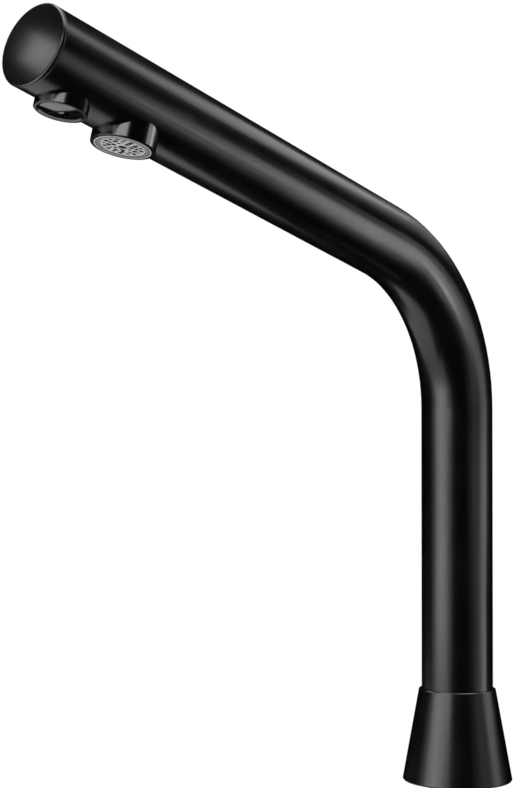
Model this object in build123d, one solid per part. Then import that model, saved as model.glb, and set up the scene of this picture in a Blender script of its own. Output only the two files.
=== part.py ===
from build123d import *
import math
import os

# Sensor tap for a worktop. Millimetres, +Z up. The origin is the centre of the foot's
# underside, on the worktop, and the spout reaches towards -Y.

# Spout tube: one brass tube, bent once
tube_diameter = 32.0
tube_wall = 1.5
riser_height = 167.0
bend_radius = 75.0
spout_slope = 15.5
spout_length = 202.0
seam_bevel = 0.2

# Fits and gaps
slip_gap = 0.05
thread_gap = 0.05
seal_gap = 0.03
running_gap = 0.05
free_gap = 0.3

# End cap, pushed into the spout's open end
cap_rim = 1.4
cap_edge_round = 0.9
cap_floor = 2.0
cap_spigot_length = 6.0
cap_spigot_wall = 2.6
cap_seal_width = 1.8
cap_seal_depth = 1.3
cap_seal_set_back = 2.4

# Worktop and its hole, and what passes through it
worktop_hole_diameter = 35.0
worktop_thickness = 30.0
stud_diameter = 6.0
stud_spacing = 25.0
stud_reach = 62.0
stud_engagement = 6.5
stud_bevel = 0.6
inlet_thread_diameter = 9.0
inlet_depth = 10.0

# Cover: the flared ring that stands on the worktop round the foot
cover_height = 41.0
cover_base_diameter = 49.3
cover_top_wall = 1.2
cover_wall = 1.75
cover_neck = 13.0
cover_bore_gap = 0.08
cover_top_bevel = 0.3
cover_foot_bevel = 0.5
cover_seal_width = 2.0
cover_seal_depth = 1.3
cover_seal_drop = 8.0

# Foot: turned brass, screwed to the studs, with the tube standing on it
foot_flange_height = 8.0
foot_rim_gap = 0.4
foot_spigot_length = 18.0
base_seal_margin = 0.7
base_seal_width = 2.0
base_seal_thickness = 1.6
grub_diameter = 4.0
grub_length = 4.8
grub_height = 9.0
grub_hole_gap = 0.2
grub_socket_flats = 2.0
grub_socket_depth = 2.0
grub_bearings = (30.0, 150.0, 270.0)

# Water pipe and its two compression joints
pipe_diameter = 8.0
pipe_wall = 1.0
pipe_insertion = 6.0
nipple_wall = 2.0
seat_depth = 1.6
seat_spread = 0.9
ferrule_nose = 1.3
ferrule_length = 3.5
ferrule_swell = 0.8
ferrule_edge = 0.1
ferrule_tail = 1.2
pipe_nut_skirt = 7.0
pipe_nut_wall = 1.0
pipe_nut_cone = 2.8
pipe_nut_length = 11.0
pipe_nut_gap = 0.6

# Sensor lead, lead clips and the socket in the foot
lead_diameter = 3.5
lead_hole_gap = 0.45
lead_rise_radius = 8.0
clip_width = 4.0
clip_wall = 1.2
clip_tube_gap = 1.1
clip_web = 2.4
clip_heights = (78.0, 138.0)
clip_spout_reach = 105.0
socket_diameter = 8.0
socket_depth = 5.0
socket_reach = 6.0
socket_rim = 0.8
socket_mouth_depth = 5.0
socket_floor = 3.5
socket_pin_diameter = 0.8
socket_pin_circle = 3.4
socket_pin_length = 6.0
socket_pin_seat = 2.0
socket_pin_count = 3

# Clamp under the worktop
clamp_diameter = 50.0
clamp_plate_thickness = 3.0
clamp_rubber_thickness = 3.0
clamp_web = 2.2
washer_diameter = 11.2
washer_thickness = 1.6
nut_flats = 10.0
nut_height = 5.0
nut_bevel = 0.6

# Aerator collar, brazed into the spout's underside, and the cartridge screwed into it
aerator_set_back = 49.0
collar_diameter = 24.6
collar_bevel = 0.25
collar_shoulder_thickness = 2.0
braze_gap = 0.05
cartridge_diameter = 21.6
cartridge_length = 6.7
cartridge_proud = 0.1
cartridge_rim = 2.0
cartridge_ledge = 1.5
cartridge_ledge_width = 2.4
rim_groove_width = 0.22
rim_groove_depth = 0.3
rim_groove_insets = (0.7, 1.3)
face_recess = 0.15
face_thickness = 3.2
face_hub_diameter = 3.0
face_hub_depth = 1.2
face_hole_diameter = 1.05
face_ring_radii = (3.1, 5.1, 7.2)
face_hole_counts = (9, 15, 22)
regulator_thickness = 1.6
regulator_hole_diameter = 1.8
regulator_hole_circle = 10.0
regulator_hole_count = 6
aerator_seal_thickness = 1.6
aerator_seal_width = 2.8
strainer_thickness = 1.1
strainer_hole_diameter = 1.0
strainer_ring_radii = (0.0, 2.0, 4.0, 5.9)
strainer_hole_counts = (1, 6, 12, 18)

# Outlet body inside the spout, over the aerator collar
outlet_diameter = 21.0
outlet_top = 7.0
outlet_spigot_diameter = 14.0
outlet_bore_diameter = 8.0
outlet_seal_drop = 0.3
outlet_seal_width = 1.4
outlet_seal_depth = 1.1
lock_ring_thickness = 2.0
lock_ring_wall_gap = 0.5
lock_ring_notch = 2.0

# Sensor in the underside of the spout, near its end
sensor_set_back = 17.2
sensor_stand = 1.9
sensor_collar_diameter = 19.8
sensor_collar_length = 8.9
sensor_bevel = 0.8
sensor_bevel_depth = 0.4
window_diameter = 15.6
window_thickness = 1.9
window_dome = 0.35
window_recess = 0.35
sensor_height = 15.4
sensor_lid_thickness = 1.6
sensor_cup_wall = 1.85
sensor_flange_diameter = 20.8
sensor_flange_thickness = 1.6
sensor_ledge = 0.8
sensor_ledge_thickness = 1.0
sensor_seal_drop = 3.0
sensor_seal_width = 1.5
sensor_seal_depth = 0.9
board_diameter = 11.8
board_thickness = 1.0
board_depth = 9.7
eye_offset = 2.7
emitter_diameter = 3.0
emitter_length = 5.2
receiver_width = 3.6
receiver_length = 3.0
receiver_lens_diameter = 2.4
holder_front_gap = 0.8
holder_length = 20.0
holder_wall_gap = 0.25
holder_slot_gap = 0.15

tube_radius = tube_diameter / 2
tube_bore = tube_radius - tube_wall
pipe_radius = pipe_diameter / 2
lead_radius = lead_diameter / 2
turn = 90.0 - spout_slope

nipple_radius = pipe_radius + nipple_wall
pipe_nut_flats = 2 * (nipple_radius + pipe_nut_wall)
lead_offset = tube_bore - clip_tube_gap - clip_wall - lead_radius

# The sensor's pieces, as distances below the spout's centre line
sensor_face_drop = tube_radius + sensor_stand
sensor_collar_inner_drop = sensor_face_drop - sensor_collar_length
sensor_top = sensor_face_drop - sensor_height
board_drop = sensor_face_drop - board_depth


def cover_radius(height):
    """Outside radius of the flared cover at a height above the worktop."""
    flare = cover_base_diameter / 2 - tube_radius - cover_top_wall
    return cover_base_diameter / 2 - flare * height / cover_height


foot_flange_radius = cover_radius(foot_flange_height) - cover_wall - foot_rim_gap
foot_spigot_top = foot_flange_height + foot_spigot_length
nipple_length = pipe_nut_skirt + pipe_nut_gap
foot_mouth_height = foot_spigot_top + nipple_length
stud_radius = stud_diameter / 2
stud_places = [(side * stud_spacing / 2, 0) for side in (-1, 1)]
spout_mouth_set_back = aerator_set_back + max(outlet_diameter, collar_diameter) / 2 + nipple_length


def corner_height(offset):
    """Height at which the riser's line and the spout's line meet, both moved outwards by offset."""
    return riser_height + (bend_radius + offset) * math.tan(math.radians(turn / 2))


slope = math.radians(spout_slope)
bend_tangent = bend_radius * math.tan(math.radians(turn / 2))
spout_reach = (spout_length + bend_tangent) * math.cos(slope)
spout_rise = corner_height(0) + (spout_length + bend_tangent) * math.sin(slope)

# Spout frame: X across, Y back along the spout from the cap's seam, Z square to it, upwards
spout_frame = Location((0, -spout_reach, spout_rise), (-spout_slope, 0, 0))
# Frames with Z along the piece: out of the spout's end, and out of each collar
cap_frame = spout_frame * Location((0, 0, 0), (90, 0, 0))
aerator_frame = spout_frame * Location((0, aerator_set_back, 0), (180, 0, 0))
sensor_frame = spout_frame * Location((0, sensor_set_back, 0), (180, 0, 0))
# Frames of the pipe joints: Z along the pipe, away from the nipple's mouth
lower_joint_frame = Location((0, 0, foot_mouth_height))
upper_joint_frame = spout_frame * Location((0, spout_mouth_set_back, 0), (-90, 0, 0))


def turned(*outline):
    """A solid turned about Z from its outline's (radius, height) corners."""
    corners = [(radius, 0, height) for radius, height in outline]
    return revolve(make_face(Polyline(*corners, close=True)), axis=Axis.Z)


def rod(radius, low, high, place=(0, 0)):
    """A round rod along Z between two heights."""
    return Pos(place[0], place[1], low) * Cylinder(
        radius, high - low, align=(Align.CENTER, Align.CENTER, Align.MIN)
    )


def hexagon(flats, low, high, place=(0, 0)):
    """A six-sided prism along Z, by its size across flats."""
    outline = RegularPolygon(flats / 2, side_count=6, major_radius=False)
    return Pos(place[0], place[1], low) * extrude(outline, high - low)


def washer(outer, inner, low, high, place=(0, 0)):
    """A flat ring along Z."""
    return rod(outer, low, high, place) - rod(inner, low, high, place)


def circle_of(radius, count):
    """Places evenly round a circle, or its centre alone where the radius is 0."""
    steps = [2 * math.pi * step / count for step in range(count)]
    return [(radius * math.cos(angle), radius * math.sin(angle)) for angle in steps]


def run_inside(offset, start_height, end_set_back):
    """The line of a pipe or lead that keeps offset from the tube's centre line, on the bend's outer side."""
    start = Vector(0, offset, start_height)
    corner = Vector(0, offset, corner_height(offset))
    end = (spout_frame * Pos(0, end_set_back, offset)).position
    return FilletPolyline(start, corner, end, radius=bend_radius + offset)


def tube_along(path, radius):
    """A round solid swept along a path of straight runs and tangent arcs."""
    return sweep(Plane(origin=path @ 0, z_dir=path % 0) * Circle(radius), path=path)


def spout_tube():
    """The bent tube, with the two collars' holes and the grub screws' holes."""
    centre = run_inside(0, foot_flange_height, 0)
    tube = tube_along(centre, tube_radius) - tube_along(centre, tube_bore)
    bevel = turned((tube_radius, 0), (tube_radius - seam_bevel, 0), (tube_radius, -seam_bevel))
    tube -= cap_frame * bevel
    reach = tube_diameter
    tube -= aerator_frame * rod(collar_diameter / 2 + braze_gap, 0, reach)
    tube -= sensor_frame * rod(sensor_collar_diameter / 2 + braze_gap, 0, reach)
    hole = Rot(0, 90, 0) * rod(grub_diameter / 2 + grub_hole_gap, 0, tube_diameter)
    for bearing in grub_bearings:
        tube -= Pos(0, 0, foot_flange_height + grub_height) * Rot(0, 0, bearing) * hole
    return tube


def end_cap():
    """The round cap: a disc with a rounded edge, and a hollow spigot with a seal groove."""
    spigot = tube_bore - slip_gap
    hollow = spigot - cap_spigot_wall
    groove = spigot - cap_seal_depth
    groove_top = -cap_seal_set_back
    groove_bottom = groove_top - cap_seal_width
    cap = turned(
        (0, cap_rim),
        (tube_radius, cap_rim),
        (tube_radius, seam_bevel),
        (tube_radius - seam_bevel, 0),
        (spigot, 0),
        (spigot, groove_top),
        (groove, groove_top),
        (groove, groove_bottom),
        (spigot, groove_bottom),
        (spigot, -cap_spigot_length),
        (hollow, -cap_spigot_length),
        (hollow, cap_rim - cap_floor),
        (0, cap_rim - cap_floor),
    )
    edge = cap.edges().filter_by(GeomType.CIRCLE).sort_by(Axis.Z).group_by(Axis.Z)[-1]
    return cap_frame * fillet(edge, min(cap_edge_round, cap_rim - 2 * seam_bevel))


def end_cap_seal():
    """The rubber ring in the cap's groove, against the tube's bore."""
    groove = tube_bore - slip_gap - cap_seal_depth
    top = -cap_seal_set_back - seal_gap
    bottom = -cap_seal_set_back - cap_seal_width + seal_gap
    return cap_frame * washer(tube_bore - seal_gap, groove, bottom, top)


def base_cover():
    """The flared cover: a neck that slides on the tube, with a seal groove, over a hollow skirt."""
    bore = tube_radius + cover_bore_gap
    groove = bore + cover_seal_depth
    groove_top = cover_height - cover_seal_drop
    groove_bottom = groove_top - cover_seal_width
    neck_bottom = cover_height - cover_neck
    return turned(
        (cover_radius(0) - cover_wall, 0),
        (cover_radius(0) - cover_foot_bevel, 0),
        (cover_radius(cover_foot_bevel), cover_foot_bevel),
        (cover_radius(cover_height - cover_top_bevel), cover_height - cover_top_bevel),
        (cover_radius(cover_height) - cover_top_bevel, cover_height),
        (bore, cover_height),
        (bore, groove_top),
        (groove, groove_top),
        (groove, groove_bottom),
        (bore, groove_bottom),
        (bore, neck_bottom),
        (cover_radius(neck_bottom) - cover_wall, neck_bottom),
    )


def base_cover_seal():
    """The rubber ring in the cover's neck, which grips the tube."""
    groove = tube_radius + cover_bore_gap + cover_seal_depth
    top = cover_height - cover_seal_drop - seal_gap
    bottom = cover_height - cover_seal_drop - cover_seal_width + seal_gap
    return washer(groove - seal_gap, tube_radius + seal_gap, bottom, top)


def nipple_seat():
    """The space in a nipple's mouth: the pipe's bore and the cone that the ferrule seats in."""
    bore = pipe_radius + slip_gap
    cone = turned((0, 0), (bore + seat_spread, 0), (bore, -seat_depth), (0, -seat_depth))
    return cone + rod(bore, -pipe_insertion, 0)


def base_foot():
    """The foot: flange, spigot inside the tube, and the nipple that takes the water pipe."""
    spigot = tube_bore - slip_gap
    foot = rod(foot_flange_radius, 0, foot_flange_height)
    foot += rod(spigot, foot_flange_height, foot_spigot_top)
    foot += rod(nipple_radius, foot_spigot_top, foot_mouth_height)
    foot -= rod(inlet_thread_diameter / 2, 0, inlet_depth)
    foot -= rod(pipe_radius - pipe_wall, inlet_depth, foot_mouth_height)
    foot -= lower_joint_frame * nipple_seat()
    for place in stud_places:
        foot -= rod(stud_radius + thread_gap, 0, stud_engagement + slip_gap, place)
    foot -= rod(socket_diameter / 2 + slip_gap, 0, socket_depth, (0, lead_offset))
    foot -= rod(lead_radius + lead_hole_gap, 0, foot_spigot_top, (0, lead_offset))
    seal_inner = worktop_hole_diameter / 2 + base_seal_margin
    foot -= washer(seal_inner + base_seal_width, seal_inner, 0, base_seal_thickness)
    hole = Rot(0, 90, 0) * rod(grub_diameter / 2 + thread_gap, tube_bore - grub_length, tube_radius)
    for bearing in grub_bearings:
        foot -= Pos(0, 0, foot_flange_height + grub_height) * Rot(0, 0, bearing) * hole
    return foot


def base_seal():
    """The flat rubber ring in the foot's underside, round the worktop's hole."""
    inner = worktop_hole_diameter / 2 + base_seal_margin
    return washer(
        inner + base_seal_width - seal_gap, inner + seal_gap, 0, base_seal_thickness - seal_gap
    )


def grub_screws():
    """Three grub screws that hold the tube on the foot's spigot."""
    end = tube_radius - slip_gap
    screw = rod(grub_diameter / 2, end - grub_length, end)
    screw -= hexagon(grub_socket_flats, end - grub_socket_depth, end)
    screw = Rot(0, 90, 0) * screw
    height = foot_flange_height + grub_height
    return [Pos(0, 0, height) * Rot(0, 0, bearing) * screw for bearing in grub_bearings]


def stud(place):
    """A threaded stud, screwed into the foot and hanging below the worktop."""
    inner = stud_radius - stud_bevel
    outline = turned(
        (0, -stud_reach),
        (inner, -stud_reach),
        (stud_radius, -stud_reach + stud_bevel),
        (stud_radius, stud_engagement - stud_bevel),
        (inner, stud_engagement),
        (0, stud_engagement),
    )
    return Pos(*place) * outline


def clamp_outline(low, high):
    """A round plate with the studs' holes and a slot, open behind, for hose and lead."""
    plate = rod(clamp_diameter / 2, low, high)
    hole = stud_radius + free_gap
    slot_half = stud_spacing / 2 - hole - clamp_web
    plate -= rod(slot_half, low, high)
    slot = Box(2 * slot_half, clamp_diameter, high - low, align=(Align.CENTER, Align.MIN, Align.MIN))
    plate -= Pos(0, 0, low) * slot
    for place in stud_places:
        plate -= rod(hole, low, high, place)
    return plate


rubber_bottom = -worktop_thickness - clamp_rubber_thickness
plate_bottom = rubber_bottom - clamp_plate_thickness
washer_bottom = plate_bottom - washer_thickness
nut_top = washer_bottom - running_gap


def clamp_nut(place):
    """A six-sided nut with bevelled corners, on its stud."""
    corner = nut_flats / 2 / math.cos(math.pi / 6)
    flat = corner - nut_bevel
    bottom = nut_top - nut_height
    blank = turned(
        (0, bottom),
        (flat, bottom),
        (corner, bottom + nut_bevel),
        (corner, nut_top - nut_bevel),
        (flat, nut_top),
        (0, nut_top),
    )
    nut = hexagon(nut_flats, bottom, nut_top) & blank
    nut -= rod(stud_radius + running_gap, bottom, nut_top)
    return Pos(*place) * nut


def pipe_nut():
    """A compression nut: its skirt over the nipple, its cone behind the ferrule."""
    bore = pipe_radius + slip_gap
    thread = nipple_radius + thread_gap
    tail = pipe_nut_length - pipe_nut_skirt
    belly = pipe_radius + ferrule_swell + slip_gap
    space = turned(
        (0, -pipe_nut_skirt),
        (thread, -pipe_nut_skirt),
        (thread, slip_gap),
        (belly, slip_gap),
        (belly, ferrule_length - ferrule_nose - ferrule_tail + slip_gap),
        (bore, pipe_nut_cone),
        (bore, tail),
        (0, tail),
    )
    return hexagon(pipe_nut_flats, -pipe_nut_skirt, tail) - space


def pipe_ferrule():
    """The ring squeezed on the pipe between the nipple's seat and the nut's cone."""
    bore = pipe_radius + seal_gap
    belly = pipe_radius + ferrule_swell
    back = ferrule_length - ferrule_nose
    return turned(
        (bore, -ferrule_nose),
        (bore + ferrule_edge, -ferrule_nose),
        (belly, -slip_gap),
        (belly, back - ferrule_tail),
        (bore + ferrule_edge, back),
        (bore, back),
    )


def water_pipe():
    """The inner water pipe, from the foot's nipple up the riser and along the spout."""
    centre = run_inside(0, foot_mouth_height - pipe_insertion, spout_mouth_set_back - pipe_insertion)
    return tube_along(centre, pipe_radius) - tube_along(centre, pipe_radius - pipe_wall)


def sensor_lead():
    """The sensor's lead: up out of the sensor, back over the outlet, and down the riser's rear."""
    sensor_exit = (spout_frame * Pos(0, sensor_set_back, -sensor_top)).position
    over_sensor = (spout_frame * Pos(0, sensor_set_back, lead_offset)).position
    corner = Vector(0, lead_offset, corner_height(lead_offset))
    low_end = Vector(0, lead_offset, socket_depth - socket_floor / 2)
    line = FilletPolyline(
        low_end, corner, over_sensor, sensor_exit, radius=[bend_radius + lead_offset, lead_rise_radius]
    )
    return tube_along(line, lead_radius)


def lead_clip():
    """A moulded clip that holds the lead beside the pipe, the pipe along Z and the lead towards +Y."""
    half = clip_width / 2
    lead_ring = lead_radius + clip_wall
    clip = rod(pipe_radius + clip_wall, -half, half) + rod(lead_ring, -half, half, (0, lead_offset))
    web = Box(clip_web, lead_offset, clip_width, align=(Align.CENTER, Align.MIN, Align.CENTER))
    clip += web
    clip -= rod(pipe_radius + slip_gap, -half, half)
    clip -= rod(lead_radius + slip_gap, -half, half, (0, lead_offset))
    return clip


def lead_clips():
    """Two clips in the riser and one in the spout."""
    clips = [Pos(0, 0, height) * lead_clip() for height in clip_heights]
    clips.append(spout_frame * Pos(0, clip_spout_reach, 0) * Rot(90, 0, 0) * lead_clip())
    return clips


def lead_socket():
    """The round socket in the foot's underside where the lead ends, for the control box's plug."""
    radius = socket_diameter / 2
    mouth = -socket_reach + socket_mouth_depth
    body = rod(radius, -socket_reach, socket_depth)
    body -= rod(radius - socket_rim, -socket_reach, mouth)
    body -= rod(lead_radius + slip_gap, socket_depth - socket_floor / 2, socket_depth)
    for place in circle_of(socket_pin_circle / 2, socket_pin_count):
        body -= rod(socket_pin_diameter / 2 + seal_gap, mouth, mouth + socket_pin_seat, place)
    return Pos(0, lead_offset, 0) * body


def socket_pins():
    """The socket's contact pins."""
    top = -socket_reach + socket_mouth_depth + socket_pin_seat
    places = circle_of(socket_pin_circle / 2, socket_pin_count)
    pins = [rod(socket_pin_diameter / 2, top - socket_pin_length, top, place) for place in places]
    return [Pos(0, lead_offset, 0) * pin for pin in pins]


shoulder_top = nipple_radius + free_gap
collar_shoulder_drop = shoulder_top + collar_shoulder_thickness
lock_ring_drop = collar_shoulder_drop + lock_ring_thickness
seal_drop = lock_ring_drop + running_gap
cartridge_drop = seal_drop + aerator_seal_thickness + running_gap
cartridge_face = cartridge_drop + cartridge_length
aerator_face_drop = cartridge_face - cartridge_proud
cartridge_radius = cartridge_diameter / 2
face_top = cartridge_face - face_recess - face_thickness
cartridge_bore = cartridge_radius - cartridge_rim
ledge_bore = cartridge_bore - cartridge_ledge_width


def aerator_collar():
    """The round collar under the spout: threaded for the cartridge, with an inner shoulder."""
    outer = collar_diameter / 2
    bore = cartridge_radius + thread_gap
    eye = outlet_spigot_diameter / 2 + slip_gap
    return aerator_frame * turned(
        (outer, shoulder_top),
        (outer, aerator_face_drop - collar_bevel),
        (outer - collar_bevel, aerator_face_drop),
        (bore, aerator_face_drop),
        (bore, collar_shoulder_drop),
        (eye, collar_shoulder_drop),
        (eye, shoulder_top),
    )


def outlet_body():
    """The brass elbow in the spout: a nipple for the pipe, and a spigot down through the collar."""
    spigot = outlet_spigot_diameter / 2
    back = spout_mouth_set_back - aerator_set_back
    body = rod(outlet_diameter / 2, -outlet_top, shoulder_top)
    body += rod(spigot, shoulder_top, lock_ring_drop)
    nipple = Rot(90, 0, 0) * rod(nipple_radius, 0, back)
    body += nipple
    groove_top = shoulder_top + outlet_seal_drop
    groove = washer(
        spigot + slip_gap, spigot - outlet_seal_depth, groove_top, groove_top + outlet_seal_width
    )
    body -= groove
    body -= rod(outlet_bore_diameter / 2, 0, lock_ring_drop)
    body -= Rot(90, 0, 0) * rod(pipe_radius - pipe_wall, 0, back)
    return aerator_frame * body - upper_joint_frame * nipple_seat()


def outlet_seal():
    """The rubber ring between the outlet's spigot and the collar's shoulder."""
    spigot = outlet_spigot_diameter / 2
    top = shoulder_top + outlet_seal_drop
    return aerator_frame * washer(
        spigot + slip_gap - seal_gap,
        spigot - outlet_seal_depth,
        top + seal_gap,
        top + outlet_seal_width - seal_gap,
    )


def outlet_lock_ring():
    """The thin notched ring nut that draws the outlet down onto the collar's shoulder."""
    outer = cartridge_radius - lock_ring_wall_gap
    inner = outlet_spigot_diameter / 2 + thread_gap
    ring = washer(outer, inner, collar_shoulder_drop, lock_ring_drop)
    notch = Box(2 * outer, lock_ring_notch, lock_ring_notch)
    notch -= rod((outer + inner) / 2, -lock_ring_notch, lock_ring_notch)
    return aerator_frame * (ring - Pos(0, 0, lock_ring_drop) * notch)


def aerator_seal():
    """The flat rubber washer between the lock ring and the cartridge."""
    outer = cartridge_radius - free_gap
    inner = outer - aerator_seal_width
    return aerator_frame * washer(outer, inner, seal_drop, seal_drop + aerator_seal_thickness)


def pierced(radius, low, high, hole, rings, counts):
    """A disc with rings of round holes through it; a ring of radius 0 is a hole in its middle."""
    disc = rod(radius, low, high)
    for ring, count in zip(rings, counts):
        disc -= [rod(hole, low, high, place) for place in circle_of(ring, count)]
    return disc


def aerator_strainer():
    """The pierced strainer disc on the cartridge's inlet."""
    radius = cartridge_radius - free_gap - aerator_seal_width - free_gap
    bottom = cartridge_drop - running_gap
    top = bottom - strainer_thickness
    hole = strainer_hole_diameter / 2
    return aerator_frame * pierced(radius, top, bottom, hole, strainer_ring_radii, strainer_hole_counts)


def aerator_cartridge():
    """The cartridge's threaded shell, with two fine grooves round its visible rim."""
    ledge_bottom = cartridge_drop + cartridge_ledge
    shell = turned(
        (ledge_bore, cartridge_drop),
        (cartridge_radius, cartridge_drop),
        (cartridge_radius, cartridge_face),
        (cartridge_bore, cartridge_face),
        (cartridge_bore, ledge_bottom),
        (ledge_bore, ledge_bottom),
    )
    for inset in rim_groove_insets:
        outer = cartridge_radius - inset
        top = cartridge_face - rim_groove_depth
        shell -= washer(outer, outer - rim_groove_width, top, cartridge_face)
    return aerator_frame * shell


def aerator_regulator():
    """The flow regulator: a disc with a ring of holes, between the ledge and the face."""
    top = cartridge_drop + cartridge_ledge
    bottom = min(top + regulator_thickness, face_top)
    radius = cartridge_bore - slip_gap
    hole = regulator_hole_diameter / 2
    rings = (regulator_hole_circle / 2,)
    return aerator_frame * pierced(radius, top, bottom, hole, rings, (regulator_hole_count,))


def aerator_face():
    """The flow straightener's face: three rings of small holes round a dimpled hub."""
    low = cartridge_face - face_recess
    radius = cartridge_bore - slip_gap
    disc = pierced(radius, face_top, low, face_hole_diameter / 2, face_ring_radii, face_hole_counts)
    return aerator_frame * (disc - rod(face_hub_diameter / 2, low - face_hub_depth, low))


window_radius = window_diameter / 2
window_low = sensor_face_drop - window_recess
cup_low = window_low - window_thickness
cup_inner = window_radius - sensor_cup_wall
sensor_bore = window_radius + slip_gap


def sensor_collar():
    """The sensor's collar, with a bevelled lip round the window."""
    outer = sensor_collar_diameter / 2
    return sensor_frame * turned(
        (outer, sensor_collar_inner_drop),
        (outer, sensor_face_drop - collar_bevel),
        (outer - collar_bevel, sensor_face_drop),
        (sensor_bore + sensor_bevel, sensor_face_drop),
        (sensor_bore, sensor_face_drop - sensor_bevel_depth),
        (sensor_bore, sensor_collar_inner_drop),
    )


def sensor_window():
    """The dark window: a disc with a slightly domed face."""
    crown = window_low + window_dome
    dome_radius = (window_radius**2 + window_dome**2) / (2 * window_dome)
    disc = rod(window_radius, cup_low, crown)
    return sensor_frame * (disc & Pos(0, 0, crown - dome_radius) * Sphere(dome_radius))


def sensor_body():
    """The sensor's housing: a cup with a flange that seats on the collar, and a seal groove."""
    groove = window_radius - sensor_seal_depth
    groove_top = sensor_collar_inner_drop + sensor_seal_drop
    groove_bottom = groove_top + sensor_seal_width
    ledge = cup_inner - sensor_ledge
    ledge_top = board_drop + board_thickness
    flange_top = sensor_collar_inner_drop - sensor_flange_thickness
    return sensor_frame * turned(
        (cup_inner, sensor_top + sensor_lid_thickness),
        (window_radius, sensor_top + sensor_lid_thickness),
        (window_radius, flange_top),
        (sensor_flange_diameter / 2, flange_top),
        (sensor_flange_diameter / 2, sensor_collar_inner_drop),
        (window_radius, sensor_collar_inner_drop),
        (window_radius, groove_top),
        (groove, groove_top),
        (groove, groove_bottom),
        (window_radius, groove_bottom),
        (window_radius, cup_low),
        (cup_inner, cup_low),
        (cup_inner, ledge_top + sensor_ledge_thickness),
        (ledge, ledge_top + sensor_ledge_thickness),
        (ledge, ledge_top),
        (cup_inner, ledge_top),
    )


def sensor_seal():
    """The rubber ring between the sensor's housing and the collar."""
    top = sensor_collar_inner_drop + sensor_seal_drop
    return sensor_frame * washer(
        sensor_bore - seal_gap,
        window_radius - sensor_seal_depth,
        top + seal_gap,
        top + sensor_seal_width - seal_gap,
    )


def sensor_lid():
    """The housing's lid, with the lead's hole."""
    low = sensor_top + sensor_lid_thickness
    lid = rod(window_radius, sensor_top, low)
    lid += rod(cup_inner - slip_gap, low, low + sensor_lid_thickness)
    return sensor_frame * (lid - rod(lead_radius + slip_gap, sensor_top, low + sensor_lid_thickness))


def sensor_board():
    """The round circuit board on the housing's ledge."""
    return sensor_frame * rod(board_diameter / 2, board_drop, board_drop + board_thickness)


def infrared_emitter():
    """The emitter: a small round lamp with a domed tip, facing the window."""
    radius = emitter_diameter / 2
    top = board_drop + board_thickness
    body = rod(radius, top, top + emitter_length - radius, (-eye_offset, 0))
    tip = Pos(-eye_offset, 0, top + emitter_length - radius) * Sphere(radius)
    return sensor_frame * (body + tip)


def infrared_receiver():
    """The receiver: a small square body with a round lens, facing the window."""
    top = board_drop + board_thickness
    body = Pos(eye_offset, 0, top) * Box(
        receiver_width, receiver_width, receiver_length, align=(Align.CENTER, Align.CENTER, Align.MIN)
    )
    lens = Pos(eye_offset, 0, top + receiver_length) * Sphere(receiver_lens_diameter / 2)
    return sensor_frame * (body + lens)


def sensor_holder():
    """The moulded block that keeps the sensor down on its collar, open behind so that it slides in."""
    front = cap_spigot_length + holder_front_gap
    block = Rot(-90, 0, 0) * rod(tube_bore - holder_wall_gap, front, front + holder_length)
    flange_top = sensor_collar_inner_drop - sensor_flange_thickness
    below = Box(
        tube_diameter, 4 * tube_diameter, tube_diameter, align=(Align.CENTER, Align.CENTER, Align.MAX)
    )
    block -= Pos(0, 0, -flange_top) * below
    half = window_radius + holder_slot_gap
    slot_top = -sensor_top + holder_slot_gap
    slot_height = flange_top + slot_top
    slot = rod(half, -flange_top, slot_top, (0, sensor_set_back))
    slot += Pos(0, sensor_set_back, -flange_top) * Box(
        2 * half, tube_diameter, slot_height, align=(Align.CENTER, Align.MIN, Align.MIN)
    )
    lead_half = lead_radius + holder_slot_gap
    lead_slot = rod(lead_half, -sensor_top, tube_bore, (0, sensor_set_back))
    lead_slot += Pos(0, sensor_set_back, -sensor_top) * Box(
        2 * lead_half, tube_diameter, 2 * tube_bore, align=(Align.CENTER, Align.MIN, Align.MIN)
    )
    return spout_frame * (block - slot - lead_slot)


pieces = {
    "spout_tube": spout_tube,
    "end_cap": end_cap,
    "end_cap_seal": end_cap_seal,
    "base_cover": base_cover,
    "base_cover_seal": base_cover_seal,
    "base_foot": base_foot,
    "base_seal": base_seal,
    "tube_grub_screws": grub_screws,
    "stud_left": lambda: stud(stud_places[0]),
    "stud_right": lambda: stud(stud_places[1]),
    "clamp_rubber": lambda: clamp_outline(rubber_bottom, -worktop_thickness),
    "clamp_plate": lambda: clamp_outline(plate_bottom, rubber_bottom),
    "clamp_washers": lambda: [
        washer(washer_diameter / 2, stud_radius + free_gap, washer_bottom, plate_bottom, place)
        for place in stud_places
    ],
    "clamp_nut_left": lambda: clamp_nut(stud_places[0]),
    "clamp_nut_right": lambda: clamp_nut(stud_places[1]),
    "water_pipe": water_pipe,
    "lower_pipe_nut": lambda: lower_joint_frame * pipe_nut(),
    "lower_pipe_ferrule": lambda: lower_joint_frame * pipe_ferrule(),
    "upper_pipe_nut": lambda: upper_joint_frame * pipe_nut(),
    "upper_pipe_ferrule": lambda: upper_joint_frame * pipe_ferrule(),
    "outlet_body": outlet_body,
    "outlet_seal": outlet_seal,
    "outlet_lock_ring": outlet_lock_ring,
    "aerator_collar": aerator_collar,
    "aerator_seal": aerator_seal,
    "aerator_strainer": aerator_strainer,
    "aerator_cartridge": aerator_cartridge,
    "aerator_regulator": aerator_regulator,
    "aerator_face": aerator_face,
    "sensor_collar": sensor_collar,
    "sensor_window": sensor_window,
    "sensor_body": sensor_body,
    "sensor_seal": sensor_seal,
    "sensor_lid": sensor_lid,
    "sensor_board": sensor_board,
    "infrared_emitter": infrared_emitter,
    "infrared_receiver": infrared_receiver,
    "sensor_holder": sensor_holder,
    "sensor_lead": sensor_lead,
    "lead_clips": lead_clips,
    "lead_socket": lead_socket,
    "socket_pins": socket_pins,
}

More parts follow.
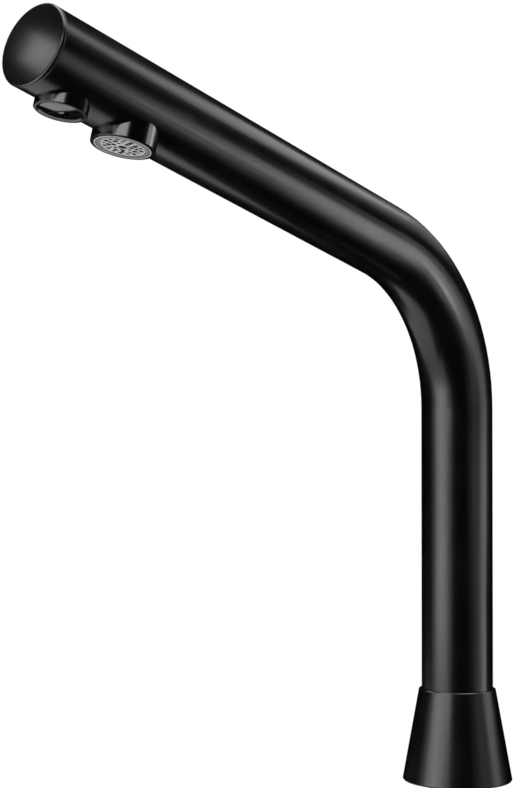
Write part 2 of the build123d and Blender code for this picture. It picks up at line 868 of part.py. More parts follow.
os.makedirs("parts", exist_ok=True)
for name, make in pieces.items():
    shape = make()
    if isinstance(shape, list):
        shape = Compound(children=shape)
    export_step(shape, os.path.join("parts", name + ".step"))
    print(name, round(shape.volume, 2))
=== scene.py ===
import math

import bpy
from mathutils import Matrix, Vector


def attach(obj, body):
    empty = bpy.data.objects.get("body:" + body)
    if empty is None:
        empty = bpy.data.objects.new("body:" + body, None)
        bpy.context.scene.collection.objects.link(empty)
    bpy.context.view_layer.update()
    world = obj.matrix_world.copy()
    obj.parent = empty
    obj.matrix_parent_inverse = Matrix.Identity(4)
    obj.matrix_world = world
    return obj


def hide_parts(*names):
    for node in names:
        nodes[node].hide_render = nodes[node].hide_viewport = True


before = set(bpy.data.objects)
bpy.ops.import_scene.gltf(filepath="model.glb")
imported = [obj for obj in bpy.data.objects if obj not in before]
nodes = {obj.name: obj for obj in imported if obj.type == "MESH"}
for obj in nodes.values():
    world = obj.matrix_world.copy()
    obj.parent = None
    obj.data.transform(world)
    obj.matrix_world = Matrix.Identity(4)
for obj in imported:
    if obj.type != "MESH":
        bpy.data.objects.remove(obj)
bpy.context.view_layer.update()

# Camera: level with the middle of the spout, off the basin's right-hand corner, and looking
# almost flat across the worktop. The lens is a short telephoto one.
camera_yaw = math.radians(42.342)
camera_data = bpy.data.cameras.new("camera")
camera_data.lens = 82.72
camera_data.sensor_width = 36
camera = bpy.data.objects.new("camera", camera_data)
camera.location = (0.48551, -0.66526, 0.16205)
camera.rotation_euler = (math.radians(90.808), 0, camera_yaw)
bpy.context.scene.collection.objects.link(camera)
bpy.context.scene.camera = camera


# Spout tube: one brass tube of 32 mm, bent once, with its mouth bevelled and two collars
# brazed into its underside. It is sprayed satin black and stoved, and the cover, the end cap
# and the collars have the same coat. The coat is thin, even and very slightly uneven in gloss.
slope = math.radians(15.5)
spout_mouth = Vector((0, -0.24961, 0.29325))
back_along_spout = Vector((0, math.cos(slope), -math.sin(slope)))


def join(tree, kind, sockets=None, **settings):
    """Adds a node to a tree, with its settings, and sets its sockets or feeds them."""
    made = tree.nodes.new("ShaderNode" + kind)
    for setting, value in settings.items():
        setattr(made, setting, value)
    for socket, value in (sockets or {}).items():
        if isinstance(value, bpy.types.NodeSocket):
            tree.links.new(value, made.inputs[socket])
        else:
            made.inputs[socket].default_value = value
    return made


def reckon(tree, operation, *values):
    """The output of one sum on numbers."""
    return join(tree, "Math", dict(enumerate(values)), operation=operation).outputs[0]


def between(tree, amount, low, high):
    """A number that runs from low to high as amount goes from 0 to 1."""
    return join(tree, "MapRange", {"Value": amount, "To Min": low, "To Max": high}).outputs[0]


def fade(tree, value, nothing, full, **settings):
    """A number that runs from 0 to 1 as value goes from one bound to the other."""
    bounds = {"Value": value, "From Min": nothing, "From Max": full}
    return join(tree, "MapRange", bounds, **settings).outputs[0]


def mix_colours(tree, amount, first, second):
    """A colour between two, given as colours or outputs."""
    made = join(tree, "Mix", {"Factor": amount}, data_type="RGBA")
    for socket, value in ((made.inputs[6], first), (made.inputs[7], second)):
        if isinstance(value, bpy.types.NodeSocket):
            tree.links.new(value, socket)
        else:
            socket.default_value = (*value, 1)
    return made.outputs[2]


def start_effect(name, numbers, outputs):
    """A node group that reads a place on the surface and some numbers, and its two ends."""
    group = bpy.data.node_groups.new(name, "ShaderNodeTree")
    group.interface.new_socket("Vector", in_out="INPUT", socket_type="NodeSocketVector")
    for socket, value in numbers.items():
        made = group.interface.new_socket(socket, in_out="INPUT", socket_type="NodeSocketFloat")
        made.default_value = value
    for socket in outputs:
        group.interface.new_socket(socket, in_out="OUTPUT", socket_type="NodeSocketFloat")
    start = group.nodes.new("NodeGroupInput").outputs
    return group, start, group.nodes.new("NodeGroupOutput").inputs


def use_effect(tree, group, vector, **numbers):
    """The outputs of an effect placed in a material."""
    made = tree.nodes.new("ShaderNodeGroup")
    made.node_tree = group
    tree.links.new(vector, made.inputs["Vector"])
    for socket, value in numbers.items():
        made.inputs[socket].default_value = value
    return made.outputs


# The grain is the fine unevenness that spraying, moulding or rolling leaves, with broad patches.
grain, start, end = start_effect("grain", {"Size": 0.001}, ("Height", "Patches"))
scale = reckon(grain, "DIVIDE", 1.0, start["Size"])
fine = join(grain, "TexNoise", {"Vector": start["Vector"], "Scale": scale, "Detail": 3.0})
grain.links.new(fine.outputs[0], end["Height"])
broad_scale = reckon(grain, "MULTIPLY", scale, 0.07)
broad = join(grain, "TexNoise", {"Vector": start["Vector"], "Scale": broad_scale, "Detail": 4.0})
grain.links.new(fade(grain, broad.outputs[0], 0.34, 0.66), end["Patches"])

# Edge wear is where handling has rubbed a corner: it follows the edges and breaks up along them.
edge_wear, start, end = start_effect("edge_wear", {"Width": 0.0003, "Amount": 0.5}, ("Mask",))
rounded = join(edge_wear, "Bevel", {"Radius": start["Width"]}, samples=4)
true_normal = join(edge_wear, "NewGeometry").outputs["Normal"]
facing = join(
    edge_wear, "VectorMath", {0: rounded.outputs[0], 1: true_normal}, operation="DOT_PRODUCT"
)
corner = fade(edge_wear, facing.outputs["Value"], 0.995, 0.86)
broken = join(edge_wear, "TexNoise", {"Vector": start["Vector"], "Scale": 700.0, "Detail": 3.0})
left = fade(edge_wear, broken.outputs[0], 0.3, 0.6)
worn = reckon(edge_wear, "MULTIPLY", corner, left)
edge_wear.links.new(reckon(edge_wear, "MULTIPLY", worn, start["Amount"]), end["Mask"])


def start_finish(name, metallic=0.0):
    """A new finish: the material, its tree, its shader and the places on the piece."""
    material = bpy.data.materials.new(name)
    material.use_nodes = True
    tree = material.node_tree
    shader = tree.nodes["Principled BSDF"]
    shader.inputs["Metallic"].default_value = metallic
    return material, tree, shader, join(tree, "TexCoord").outputs["Object"]


def paint(tree, shader, amount, first, second, gloss=None):
    """Colours a surface between two colours, and makes it as rough, by an amount from 0 to 1."""
    tree.links.new(mix_colours(tree, amount, first, second), shader.inputs["Base Color"])
    if gloss:
        tree.links.new(between(tree, amount, *gloss), shader.inputs["Roughness"])


def emboss(tree, shader, height, depth):
    """Raises and sinks a surface by a height from 0 to 1, times depth in metres."""
    bump = join(tree, "Bump", {"Height": height, "Distance": depth, "Strength": 1.0})
    tree.links.new(bump.outputs[0], shader.inputs["Normal"])


def dress(material, *names):
    """Gives a finish to nodes of the frame."""
    for name in names:
        for slot in nodes[name].material_slots:
            slot.material = material


def sprayed(name, smooth, rough, shine):
    """Black stoved coat, between two roughnesses, a little thin and pale along sharp edges."""
    material, tree, shader, place = start_finish(name)
    film = use_effect(tree, grain, place, Size=0.0012)
    wear = use_effect(tree, edge_wear, place, Width=0.00025, Amount=0.4)
    black = mix_colours(tree, film["Patches"], (0.0012, 0.0012, 0.0013), (0.002, 0.002, 0.0021))
    paint(tree, shader, wear["Mask"], black, (0.02, 0.0195, 0.019))
    tree.links.new(between(tree, film["Patches"], smooth, rough), shader.inputs["Roughness"])
    shader.inputs["Specular IOR Level"].default_value = shine
    emboss(tree, shader, film["Height"], 0.000004)
    return material


coat = sprayed("satin_black_coat", smooth=0.235, rough=0.265, shine=0.5)
dress(coat, "spout_tube")

# Foot: turned from brass bar, screwed down on the studs, with a nipple for the water pipe and
# a threaded inlet below. Bare metal, with the tool's fine rings on it and some dull patches.
# Three stainless grub screws hold the tube on it, and a rubber ring seals it to the worktop.


def off_axis(tree, place):
    """How far a place lies from the Z axis."""
    flat = join(tree, "VectorMath", {0: place, 1: (1, 1, 0)}, operation="MULTIPLY").outputs[0]
    return join(tree, "VectorMath", {0: flat}, operation="LENGTH").outputs["Value"]


def place_on(tree, place, origin, tilt):
    """Places as seen from an origin on a piece's own axis, which is tilted about X."""
    seat = {"Vector": place, "Location": origin, "Rotation": (tilt, 0, 0)}
    return join(tree, "Mapping", seat, vector_type="TEXTURE").outputs[0]


# Turning marks are the rings that a lathe tool leaves round a piece's own axis.
turning_marks, start, end = start_effect("turning_marks", {"Spacing": 0.0003}, ("Height",))
along = join(turning_marks, "SeparateXYZ", {0: start["Vector"]}).outputs["Z"]
travel = reckon(turning_marks, "ADD", off_axis(turning_marks, start["Vector"]), along)
turns = reckon(turning_marks, "DIVIDE", travel, start["Spacing"])
rings = join(
    turning_marks, "TexNoise", {"W": turns, "Scale": 1.0, "Detail": 2.0}, noise_dimensions="1D"
)
turning_marks.links.new(rings.outputs[0], end["Height"])


def turned_metal(name, tones, spacing, origin=(0, 0, 0), tilt=0.0):
    """Bare turned metal: two tones and a gloss in patches, and tool rings round its axis."""
    material, tree, shader, place = start_finish(name, metallic=1.0)
    axis = place_on(tree, place, origin, tilt)
    ground = use_effect(tree, grain, place, Size=0.0006)
    rings = use_effect(tree, turning_marks, axis, Spacing=spacing)
    paint(tree, shader, ground["Patches"], *tones)
    both = reckon(tree, "ADD", rings["Height"], reckon(tree, "MULTIPLY", ground["Height"], 0.3))
    emboss(tree, shader, both, 0.000012)
    return material


brass_tones = ((0.72, 0.52, 0.24), (0.42, 0.27, 0.11), (0.24, 0.42))
brass_rings = 0.00035
brass = turned_metal("turned_brass", brass_tones, brass_rings)
dress(brass, "base_foot")

steel_tones = ((0.74, 0.73, 0.71), (0.52, 0.51, 0.50), (0.26, 0.4))
steel_rings = 0.0003
steel = turned_metal("stainless_steel", steel_tones, steel_rings)
dress(steel, "tube_grub_screws")


def moulded(name, light, dark, gloss, size, depth, wear=0.0, worn=(0.1, 0.1, 0.1)):
    """Moulded rubber or plastic: two close tones, a fine grain, and corners that can be worn."""
    material, tree, shader, place = start_finish(name)
    skin = use_effect(tree, grain, place, Size=size)
    rubbed = use_effect(tree, edge_wear, place, Width=0.0003, Amount=wear)
    colour = mix_colours(tree, skin["Patches"], light, dark)
    paint(tree, shader, rubbed["Mask"], colour, worn)
    tree.links.new(between(tree, skin["Patches"], *gloss), shader.inputs["Roughness"])
    emboss(tree, shader, skin["Height"], depth)
    return material


rubber = moulded(
    "black_rubber", (0.018, 0.018, 0.017), (0.03, 0.029, 0.028), gloss=(0.55, 0.75),
    size=0.0004, depth=0.00002,
)
dress(rubber, "base_seal")

# Cover: a flared sleeve turned from brass and coated like the tube. It stands on the worktop
# round the foot, slides up the tube when the screws are wanted, and a rubber ring grips the tube.
dress(coat, "base_cover")
dress(rubber, "base_cover_seal")

# End cap: a turned brass disc with a rounded rim, coated like the tube and pushed into its
# mouth. A rubber ring on its spigot holds it. Its face is bare.
dress(coat, "end_cap")
dress(rubber, "end_cap_seal")

# Aerator collar: a short turned brass sleeve, brazed square into the spout's underside and
# coated with the tube. Its bore is threaded for the aerator.
collar_coat = sprayed("glossy_black_coat", smooth=0.17, rough=0.2, shine=1.0)
dress(collar_coat, "aerator_collar")

# Aerator: an acetal cartridge screwed into the collar from below, with a pierced face that
# breaks the water up, a flow regulator, a strainer, and a rubber washer on top of it. The face
# has three rings of small holes round a hub with a hollow middle. Shade is painted into them.
aerator_set_back = 0.049
aerator_place = spout_mouth + aerator_set_back * back_along_spout
aerator_tilt = math.pi - slope
face_out = 0.018546
face_thickness = 0.0032
face_radius = 0.00875
plate_radius = 0.00802
plate_sunk = 0.00012
hub_radius = 0.0023
hub_wall = 0.0004
hub_proud = 0.00025
hub_hollow = 0.0013
face_slope = 0.00015

# Each ring of holes has a radius, a number of holes and their mean radius, which the spread varies.
hole_rings = ((0.0034, 7, 0.00092), (0.0053, 12, 0.00094), (0.0070, 16, 0.00086))
hole_sides = 14
hole_spread = (1.0, 0.8, 1.12, 0.9, 1.15, 0.72, 1.05)

# Painted shade darkens the face below one level and inside one radius, and grooves in the
# front. Each pair says where it starts and where it is full.
acetal_grain = 0.0007
acetal_depth = 0.000008
painted_shade_depth = (0.0184, 0.01825)
painted_shade_reach = (0.0087, 0.0085)
groove_front = (0.0181, 0.0183)
groove_width = (0.0003, 0.00012)
groove_painted_shade = 0.95


def pick_faces(piece, wanted):
    """Goes into edit mode with only those faces selected that a test picks."""
    bpy.ops.object.mode_set(mode="EDIT")
    bpy.ops.mesh.select_mode(type="FACE")
    bpy.ops.mesh.select_all(action="DESELECT")
    bpy.ops.object.mode_set(mode="OBJECT")
    for face in piece.data.polygons:
        face.select = wanted(face)
    bpy.ops.object.mode_set(mode="EDIT")


bpy.ops.object.select_all(action="DESELECT")
bpy.ops.mesh.primitive_cylinder_add(
    vertices=96, radius=face_radius, depth=face_thickness,
    location=(0, 0, face_out - face_thickness / 2),
)
face = bpy.context.object
face.name = "pierced_face"
bpy.ops.object.transform_apply(location=True)
pick_faces(face, lambda side: side.normal.z > 0.9)
bpy.ops.mesh.inset(thickness=face_radius - plate_radius)
bpy.ops.mesh.inset(thickness=face_slope, depth=-plate_sunk)
bpy.ops.mesh.inset(thickness=plate_radius - face_slope - hub_radius)
bpy.ops.mesh.inset(thickness=face_slope, depth=hub_proud)
bpy.ops.mesh.inset(thickness=hub_wall)
bpy.ops.mesh.inset(thickness=face_slope, depth=-hub_hollow)
bpy.ops.object.mode_set(mode="OBJECT")

pins = []
for ring, count, hole_radius in hole_rings:
    for step in range(count):
        turn = 2 * math.pi * (step + ring * 100) / count
        bpy.ops.mesh.primitive_cylinder_add(
            vertices=hole_sides, depth=2 * face_thickness,
            radius=hole_radius * hole_spread[step % len(hole_spread)],
            location=(ring * math.cos(turn), ring * math.sin(turn), face_out),
        )
        pins.append(bpy.context.object)
for pin in pins:
    pin.select_set(True)
bpy.ops.object.join()
pin = bpy.context.object
piercing = face.modifiers.new("holes", "BOOLEAN")
piercing.object = pin
piercing.operation = "DIFFERENCE"
piercing.use_self = True
bpy.ops.object.select_all(action="DESELECT")
bpy.context.view_layer.objects.active = face
face.select_set(True)
bpy.ops.object.modifier_apply(modifier=piercing.name)
bpy.data.objects.remove(pin)
face.rotation_euler = (aerator_tilt, 0, 0)
face.location = aerator_place
bpy.ops.object.transform_apply(location=True, rotation=True)
bpy.ops.object.shade_smooth_by_angle(angle=math.radians(30))


def aerator_acetal(name, grooves):
    """Pale grey acetal, with painted shade in the face's holes and in grooves at these radii."""
    material, tree, shader, place = start_finish(name)
    skin = use_effect(tree, grain, place, Size=acetal_grain)
    axis = place_on(tree, place, aerator_place, aerator_tilt)
    out = join(tree, "SeparateXYZ", {0: axis}).outputs["Z"]
    radius = off_axis(tree, axis)
    # Painted shade: the holes go near black, and so do thin rings at the grooves' radii near the
    # front.
    painted_shade = reckon(
        tree, "MULTIPLY", fade(tree, out, *painted_shade_depth), fade(tree, radius, *painted_shade_reach)
    )
    front = reckon(tree, "MULTIPLY", fade(tree, out, *groove_front), groove_painted_shade)
    for groove in grooves:
        off = reckon(tree, "ABSOLUTE", reckon(tree, "SUBTRACT", radius, groove))
        ring = reckon(tree, "MULTIPLY", fade(tree, off, *groove_width), front)
        painted_shade = reckon(tree, "MAXIMUM", painted_shade, ring)
    unshaded_acetal = mix_colours(tree, skin["Patches"], (0.46, 0.46, 0.45), (0.36, 0.36, 0.35))
    paint(tree, shader, painted_shade, unshaded_acetal, (0.008, 0.008, 0.008))
    tree.links.new(between(tree, skin["Patches"], 0.3, 0.42), shader.inputs["Roughness"])
    emboss(tree, shader, skin["Height"], acetal_depth)
    return material


# The cartridge gets painted shade at its two grooves and at the face's rim.
cartridge_acetal = aerator_acetal("grey_acetal_cartridge", (0.01009, 0.00949, face_radius))
dress(cartridge_acetal, "aerator_cartridge")
face_acetal = aerator_acetal("grey_acetal_face", (face_radius,))
face.data.materials.append(face_acetal)
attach(face, "aerator")
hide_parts("aerator_face")
white_acetal = moulded(
    "white_acetal", (0.72, 0.72, 0.70), (0.66, 0.66, 0.63), gloss=(0.32, 0.45),
    size=acetal_grain, depth=acetal_depth,
)
dress(white_acetal, "aerator_regulator", "aerator_strainer")
dress(rubber, "aerator_seal")

# Outlet: a turned brass body inside the spout, seated over the aerator collar on a rubber ring
# and held by a slotted brass ring that is screwed up from below.
outlet_brass = turned_metal(
    "turned_brass_outlet", brass_tones, brass_rings, aerator_place, -slope
)
dress(outlet_brass, "outlet_body", "outlet_lock_ring")
dress(rubber, "outlet_seal")

# Water pipe: 8 mm annealed copper, bent with the tube, in a brass compression nut and ferrule
# at each end. The copper has dulled in patches.
copper, tree, shader, place = start_finish("dulled_copper", metallic=1.0)
skin = use_effect(tree, grain, place, Size=0.0009)
paint(tree, shader, skin["Patches"], (0.83, 0.42, 0.28), (0.42, 0.19, 0.12), (0.24, 0.45))
emboss(tree, shader, skin["Height"], 0.00001)
dress(copper, "water_pipe")
dress(brass, "lower_pipe_nut", "lower_pipe_ferrule")
spout_brass = turned_metal(
    "turned_brass_spout", brass_tones, brass_rings, spout_mouth, math.pi / 2 - slope
)
dress(spout_brass, "upper_pipe_nut", "upper_pipe_ferrule")

# Sensor collar: a turned brass sleeve like the aerator's, coated with the tube, with a bevelled
# lip round the window.
dress(collar_coat, "sensor_collar")

# Sensor window: a disc of dark filter plastic, moulded very smooth and slightly domed. It looks
# black to the eye and lets infrared light through. A few faint finger marks dull its gloss.
window, tree, shader, place = start_finish("dark_filter")
marks = use_effect(tree, grain, place, Size=0.00025)
paint(tree, shader, marks["Patches"], (0.003, 0.003, 0.003), (0.006, 0.005, 0.005), (0.05, 0.1))
shader.inputs["IOR"].default_value = 1.8
emboss(tree, shader, marks["Height"], 0.0000004)
dress(window, "sensor_window")

# Sensor: a moulded black cup and lid behind the window, round a small circuit board that carries
# a clear infrared emitter and a dark receiver. A moulded block keeps it down on its collar.
black_plastic = moulded(
    "black_plastic", (0.012, 0.012, 0.012), (0.018, 0.018, 0.018), gloss=(0.38, 0.5),
    size=0.0005, depth=0.000015, wear=0.6, worn=(0.05, 0.05, 0.05),
)
dress(black_plastic, "sensor_body", "sensor_lid", "sensor_holder")
dress(rubber, "sensor_seal")

board, tree, shader, place = start_finish("circuit_board")
tracks = join(tree, "TexBrick", {
    "Vector": place_on(tree, place, spout_mouth, -slope), "Scale": 700.0, "Mortar Size": 0.09,
    "Color1": (0.01, 0.09, 0.03, 1), "Color2": (0.012, 0.11, 0.04, 1),
    "Mortar": (0.03, 0.2, 0.07, 1),
})
tree.links.new(tracks.outputs[0], shader.inputs["Base Color"])
tree.links.new(between(tree, tracks.outputs[1], 0.3, 0.4), shader.inputs["Roughness"])
emboss(tree, shader, tracks.outputs[1], 0.00003)
dress(board, "sensor_board")

clear_lens, tree, shader, place = start_finish("clear_epoxy")
shader.inputs["Transmission Weight"].default_value = 1.0
flow = use_effect(tree, grain, place, Size=0.0006)
paint(tree, shader, flow["Patches"], (0.95, 0.96, 0.98), (0.88, 0.9, 0.94), (0.03, 0.08))
dress(clear_lens, "infrared_emitter")
dark_lens = moulded(
    "dark_epoxy", (0.008, 0.004, 0.008), (0.012, 0.007, 0.012), gloss=(0.06, 0.14),
    size=0.0006, depth=0.000001,
)
dress(dark_lens, "infrared_receiver")

# Sensor lead: a round black jacketed cable from the sensor back over the outlet and down the
# riser, held beside the pipe by three moulded clips. It ends in a socket in the foot.
jacket = moulded(
    "lead_jacket", (0.02, 0.02, 0.021), (0.028, 0.028, 0.029), gloss=(0.4, 0.55),
    size=0.0005, depth=0.00001,
)
dress(jacket, "sensor_lead")
dress(black_plastic, "lead_clips", "lead_socket")
gold_tones = ((0.95, 0.68, 0.26), (0.8, 0.52, 0.17), (0.14, 0.26))
gold = turned_metal("gold_contact", gold_tones, spacing=0.0002)
dress(gold, "socket_pins")

# Studs: two stainless M6 studs, threaded all along and cut square, which hang from the foot
# through the worktop. Their thread is real: a 60 degree form, one millimetre a turn.
thread_pitch = 0.001
thread_crest = 0.00298
thread_root = 0.0024
crest_starts = 0.35 * thread_pitch
crest_ends = 0.65 * thread_pitch
stud_low = -0.062
stud_high = 0.0065
stud_offset = 0.0125
thread_sides = 24
weld = 1e-6


def threaded_stud(name, side):
    """One stud: a thread's profile wound up its axis, cut off at both ends and closed."""
    bpy.ops.object.select_all(action="DESELECT")
    bpy.ops.mesh.primitive_plane_add(size=thread_pitch)
    stud = bpy.context.object
    stud.name = name
    profile = (
        (thread_root, 0),
        (thread_crest, crest_starts),
        (thread_crest, crest_ends),
        (thread_root, thread_pitch),
    )
    corners = [stud.data.vertices[index] for index in (0, 1, 3, 2)]
    for vertex, (radius, height) in zip(corners, profile):
        vertex.co = (radius, 0, stud_low - thread_pitch + height)
    bpy.ops.object.mode_set(mode="EDIT")
    bpy.ops.mesh.select_mode(type="EDGE")
    bpy.ops.mesh.select_all(action="SELECT")
    bpy.ops.mesh.delete(type="ONLY_FACE")
    bpy.ops.mesh.select_all(action="DESELECT")
    bpy.ops.object.mode_set(mode="OBJECT")
    for edge in stud.data.edges:
        ends = [stud.data.vertices[index].co.x for index in edge.vertices]
        edge.select = all(abs(end - thread_root) < weld for end in ends)
    bpy.ops.object.mode_set(mode="EDIT")
    bpy.ops.mesh.delete(type="EDGE")
    bpy.ops.object.mode_set(mode="OBJECT")
    winding = stud.modifiers.new("thread", "SCREW")
    winding.screw_offset = thread_pitch
    winding.iterations = int((stud_high - stud_low) / thread_pitch) + 3
    winding.steps = thread_sides
    winding.render_steps = thread_sides
    winding.use_merge_vertices = True
    winding.merge_threshold = weld
    bpy.ops.object.modifier_apply(modifier=winding.name)
    bpy.ops.object.mode_set(mode="EDIT")
    bpy.ops.mesh.select_all(action="SELECT")
    bpy.ops.mesh.remove_doubles(threshold=weld)
    for height, low_side in ((stud_low, True), (stud_high, False)):
        bpy.ops.mesh.select_all(action="SELECT")
        bpy.ops.mesh.bisect(
            plane_co=(0, 0, height), plane_no=(0, 0, 1), use_fill=True, threshold=weld,
            clear_inner=low_side, clear_outer=not low_side,
        )
    bpy.ops.mesh.select_all(action="SELECT")
    bpy.ops.mesh.normals_make_consistent(inside=False)
    bpy.ops.transform.translate(value=(side * stud_offset, 0, 0))
    bpy.ops.object.mode_set(mode="OBJECT")
    bpy.ops.object.shade_smooth_by_angle(angle=math.radians(25))
    stud.data.materials.append(stud_steel)
    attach(stud, "tap_body")
    return stud


stud_steel = turned_metal("threaded_steel", steel_tones, spacing=0.0002)
for side, node in ((-1, "stud_left"), (1, "stud_right")):
    stud = threaded_stud("threaded_" + node, side)
    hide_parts(node)

# Clamp: a zinc plated steel plate with a slot for the pipe and the lead, a rubber pad between
# it and the worktop, and a stainless washer and nut on each stud that pull it up.
zinc, tree, shader, place = start_finish("zinc_plate", metallic=1.0)
spangle = join(tree, "TexVoronoi", {"Vector": place, "Scale": 260.0})
plating = use_effect(tree, grain, place, Size=0.0008)
rubbed = use_effect(tree, edge_wear, place, Width=0.0004, Amount=0.6)
spangled = join(tree, "SeparateColor", {0: spangle.outputs["Color"]}).outputs[0]
tone = mix_colours(tree, spangled, (0.50, 0.52, 0.55), (0.60, 0.61, 0.62))
yellowed = reckon(tree, "MULTIPLY", plating["Patches"], 0.4)
tone = mix_colours(tree, yellowed, tone, (0.56, 0.53, 0.42))
paint(tree, shader, rubbed["Mask"], tone, (0.72, 0.72, 0.72))
tree.links.new(between(tree, spangled, 0.3, 0.45), shader.inputs["Roughness"])
emboss(tree, shader, plating["Height"], 0.00001)
dress(zinc, "clamp_plate")
dress(rubber, "clamp_rubber")
for hand, offset in (("left", -stud_offset), ("right", stud_offset)):
    nut_steel = turned_metal("stainless_nut_" + hand, steel_tones, steel_rings, (offset, 0, 0))
    dress(nut_steel, "clamp_nut_" + hand)
dress(steel, "clamp_washers")

# Studio: a round white table in a white room. As for any dark gloss piece, black cards stand all
# round the table and lie on parts of it, and the metal shows the lit screens that stand and lie
# between them as bands of light. The camera sees neither the cards nor the screens.
studio_centre = Vector((0, -0.115, 0))
table_height = -0.0622
table_radius = 1.6
screen_distance = 0.75
screen_lift = 0.002
standing_step = 15
lying_step = 10
towards_camera = Vector((math.sin(camera_yaw), -math.cos(camera_yaw), 0))
camera_right = Vector((math.cos(camera_yaw), math.sin(camera_yaw), 0))
up = Vector((0, 0, 1))


def bearing_of(degrees, above=0.0):
    """The direction to a bearing, which grows to the camera's right, and an angle above level."""
    turn = math.radians(degrees)
    lift = math.radians(above)
    level = math.cos(turn) * towards_camera + math.sin(turn) * camera_right
    return math.cos(lift) * level + math.sin(lift) * up


def hang_screen(name, place, face, wide, high, brightness):
    """A lit screen that the camera doesn't see. It faces away from the direction given."""
    data = bpy.data.lights.new(name, "AREA")
    data.shape = "RECTANGLE"
    data.size = wide
    data.size_y = high
    data.energy = brightness * math.pi * wide * high
    screen = bpy.data.objects.new(name, data)
    screen.location = place
    screen.rotation_euler = face.to_track_quat("Z", "Y").to_euler()
    screen.visible_camera = False
    bpy.context.scene.collection.objects.link(screen)
    return screen


def stand_screen(name, bearing, wide, low, high, brightness, rise=0.0, distance=screen_distance):
    """A lit screen round the tap, between two heights, and as wide as an angle in degrees."""
    place = studio_centre + distance * bearing_of(bearing) + (low + high) / 2 * up
    width = 2 * distance * math.tan(math.radians(wide / 2))
    hang_screen(name, place, bearing_of(bearing, rise), width, high - low, brightness)


def lay_screen(name, bearing, wide, near, far, brightness):
    """A lit screen that lies on the table and faces up, between two distances from the tap."""
    out = bearing_of(bearing)
    middle = (near + far) / 2
    place = studio_centre + middle * out + (table_height + screen_lift) * up
    width = 2 * middle * math.tan(math.radians(wide / 2))
    screen = hang_screen(name, place, -up, width, far - near, brightness)
    screen.rotation_euler = (math.pi, 0, math.atan2(-out.x, out.y))


def aim_screen(name, spot, bearing, above, distance, wide, high, beam, brightness):
    """A small lit screen with a grid on it, that lights one spot and little beside it."""
    out = bearing_of(bearing, above)
    screen = hang_screen(name, spot + distance * out, out, wide, high, brightness)
    screen.data.spread = math.radians(beam)


def set_rows(name, rows, put, first, step):
    """Rows of screens, put side by side from a first bearing on. Unlit ones are left out."""
    for row, (start, stop, *brightness) in enumerate(rows):
        for place, lit in enumerate(brightness):
            if lit:
                put(f"{name}_{row}_{place}", first + place * step, step, start, stop, lit)


key_rows = (
    (-0.06, 0.06, 1.0, 4.0, 5.1, 4.1, 1.8),
    (0.06, 0.18, 0.3, 2.2, 4.0, 3.0, 0.4),
    (0.18, 0.30, 1.7, 5.8, 4.9, 4.3, 4.5),
)
right_rows = (
    (-0.06, 0.06, 0.1, 0.3, 0.4, 1.5, 0),
    (0.06, 0.18, 0.3, 0.8, 0.5, 2.1, 2.1),
    (0.18, 0.30, 0, 0, 0, 0, 0.6),
)
table_rows = (
    (0.25, 0.33, 0, 0, 0, 0, 0.2),
    (0.33, 0.42, 0, 0.2, 0, 0.6, 1.2),
    (0.42, 0.54, 0, 2.9, 0.3, 4.1, 0),
    (0.54, 0.70, 0.8, 0.6, 0, 5.3, 0),
    (0.70, 0.90, 0, 0, 0, 1.6, 3.5),
)
set_rows("key", key_rows, stand_screen, -90, standing_step)
stand_screen("key_top", -30, standing_step, 0.30, 0.62, 5.4)
set_rows("right", right_rows, stand_screen, 45, standing_step)
set_rows("table", table_rows, lay_screen, 65, lying_step)

# Three screens with grids light the band on the bend, and two the far side of the aerator collar.
bend_spot = Vector((0, -0.01, 0.235))
for bearing, above, lit in ((72, -20, 0.13), (74, -28, 0.3), (90, -16, 0.07)):
    aim_screen(
        f"bend_{bearing}", bend_spot, bearing, above,
        distance=0.7, wide=0.2, high=0.17, beam=30, brightness=lit,
    )
collar_spot = Vector((0.012, -0.205, 0.265))
for bearing, lit in ((97, 0.05), (116, 0.075)):
    aim_screen(
        f"collar_{bearing}", collar_spot, bearing, above=5,
        distance=0.04, wide=0.014, high=0.014, beam=26, brightness=lit,
    )

# Large high screens light the upper sides, and a tiny one close to the end cap its face.
stand_screen("back_high", 120, 44, 0.62, 0.86, 2.2)
stand_screen("back_middle", 135, 44, 0.44, 0.62, 0.5)
stand_screen("front_high", -18, 62, 0.60, 0.86, 3.4)
stand_screen("rim_left", -140, 50, 0.68, 0.93, 3.0, rise=45)
overhead = studio_centre + 1.05 * up
hang_screen("overhead", overhead, up, wide=0.9, high=0.9, brightness=3.2)
cap_spot = Vector((0.0075, -0.2520, 0.2885))
cap_face = bearing_of(-101, 30)
cap_place = cap_spot + 0.045 * cap_face
hang_screen("cap_light", cap_place, cap_face, wide=0.012, high=0.012, brightness=3.2)
stand_screen("side_high", 90, 50, 0.75, 1.03, 2.4, rise=55, distance=0.52)


def sight_masks(tree):
    """Two masks: rays from the camera, and those with all that mirrors and glass send on."""
    ray = join(tree, "LightPath").outputs
    bent = reckon(tree, "MAXIMUM", ray["Is Glossy Ray"], ray["Is Transmission Ray"])
    return ray["Is Camera Ray"], reckon(tree, "MAXIMUM", ray["Is Camera Ray"], bent)


bpy.ops.object.select_all(action="DESELECT")
bpy.ops.mesh.primitive_circle_add(
    vertices=128, radius=table_radius, fill_type="TRIFAN",
    location=studio_centre + table_height * up,
)
table = bpy.context.object
table.name = "white_table"
bpy.ops.object.transform_apply(location=True)

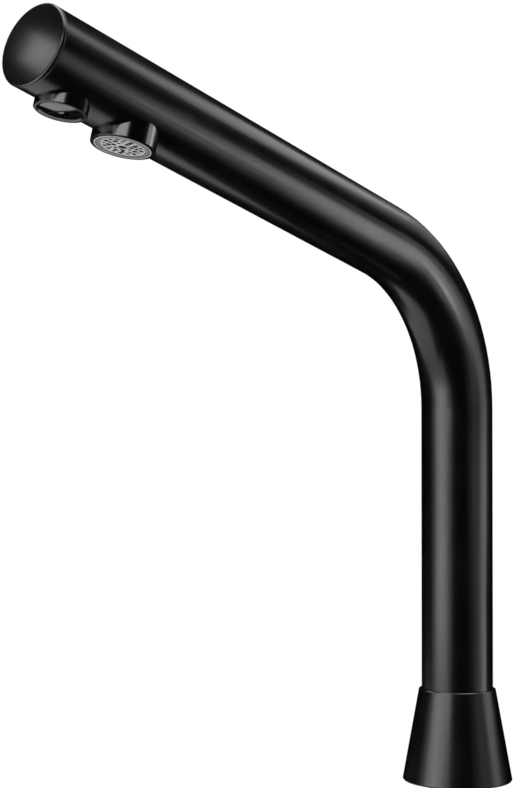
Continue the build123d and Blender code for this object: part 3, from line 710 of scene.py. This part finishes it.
# The table is paper near the tap, where it takes a soft shadow, and pure white further off. It
# can't be seen from below.
white, tree, shader, place = start_finish("white_table")
shader.inputs["Base Color"].default_value = (0.85, 0.85, 0.85, 1)
shader.inputs["Roughness"].default_value = 0.9
shader.inputs["Specular IOR Level"].default_value = 0.0
white_from = 0.12
white_to = 0.4
in_camera, seen = sight_masks(tree)
off_tap = join(tree, "VectorMath", {0: place, 1: -studio_centre}, operation="ADD").outputs["Vector"]
radius = join(tree, "VectorMath", {0: off_tap}, operation="LENGTH").outputs["Value"]
whiter = fade(tree, radius, white_from, white_to, interpolation_type="SMOOTHSTEP")
far = reckon(tree, "MULTIPLY", whiter, seen)
paper = reckon(
    tree, "ADD", reckon(tree, "MULTIPLY", seen, 0.35), reckon(tree, "MULTIPLY", in_camera, 0.08)
)
pale = join(tree, "Emission", {"Strength": paper, "Color": (1, 1, 1, 1)})
lit = join(tree, "AddShader", {0: shader.outputs[0], 1: pale.outputs[0]})
glow = join(tree, "Emission", {"Strength": seen, "Color": (1, 1, 1, 1)})
faded = join(tree, "MixShader", {0: far, 1: lit.outputs[0], 2: glow.outputs[0]})
under = join(tree, "NewGeometry").outputs["Backfacing"]
clear = join(tree, "BsdfTransparent")
one_sided = join(tree, "MixShader", {0: under, 1: faded.outputs[0], 2: clear.outputs[0]})
tree.links.new(one_sided.outputs[0], tree.nodes["Material Output"].inputs["Surface"])
table.data.materials.append(white)

card_black, tree, shader, place = start_finish("black_card")
shader.inputs["Base Color"].default_value = (0, 0, 0, 1)
shader.inputs["Specular IOR Level"].default_value = 0.0


def stage_card(card):
    """Makes a card black and keeps it out of the camera's sight."""
    card.data.materials.append(card_black)
    card.visible_camera = False


def left_white(face):
    """Whether a face of the low card lies where the table has to stay white, on the left."""
    out = face.center - studio_centre
    bearing = math.degrees(math.atan2(out.dot(camera_right), out.dot(towards_camera)))
    distance = math.hypot(out.x, out.y)
    if distance < card_rings[0]:
        return bearing < -60
    if distance < card_rings[1]:
        return -150 < bearing < -30
    return distance < card_rings[2] and -95 < bearing < -30


card_rings = (0.25, 0.56, 0.8)
card_growths = (2.24, 1.43, 2.0)
card_lift = 0.0005


bpy.ops.object.select_all(action="DESELECT")
bpy.ops.mesh.primitive_circle_add(
    vertices=72, radius=card_rings[0], fill_type="TRIFAN",
    location=studio_centre + (table_height + card_lift) * up,
)
low_card = bpy.context.object
low_card.name = "black_card_low"
bpy.ops.object.transform_apply(location=True)
bpy.ops.object.mode_set(mode="EDIT")
bpy.ops.mesh.region_to_loop()
for growth in card_growths:
    bpy.ops.mesh.extrude_edges_move()
    bpy.ops.transform.resize(value=(growth, growth, 1), center_override=studio_centre)
bpy.ops.object.mode_set(mode="OBJECT")
pick_faces(low_card, left_white)
bpy.ops.mesh.delete(type="FACE")
bpy.ops.object.mode_set(mode="OBJECT")
stage_card(low_card)
for sight in ("diffuse", "transmission", "shadow", "volume_scatter"):
    setattr(low_card, "visible_" + sight, False)

card_height = 2.9
bpy.ops.object.select_all(action="DESELECT")
bpy.ops.mesh.primitive_cylinder_add(
    vertices=72, radius=table_radius, depth=card_height, end_fill_type="NOTHING",
    location=studio_centre + (table_height + card_height / 2) * up,
)
cards = bpy.context.object
cards.name = "black_cards"
bpy.ops.object.transform_apply(location=True)
stage_card(cards)

world = bpy.data.worlds.new("white_room")
bpy.context.scene.world = world
world.use_nodes = True
tree = world.node_tree
backdrop = tree.nodes["Background"].inputs
backdrop["Color"].default_value = (1, 1, 1, 1)
tree.links.new(between(tree, sight_masks(tree)[1], 0.4, 1.0), backdrop["Strength"])
bpy.context.scene.view_settings.view_transform = "Standard"
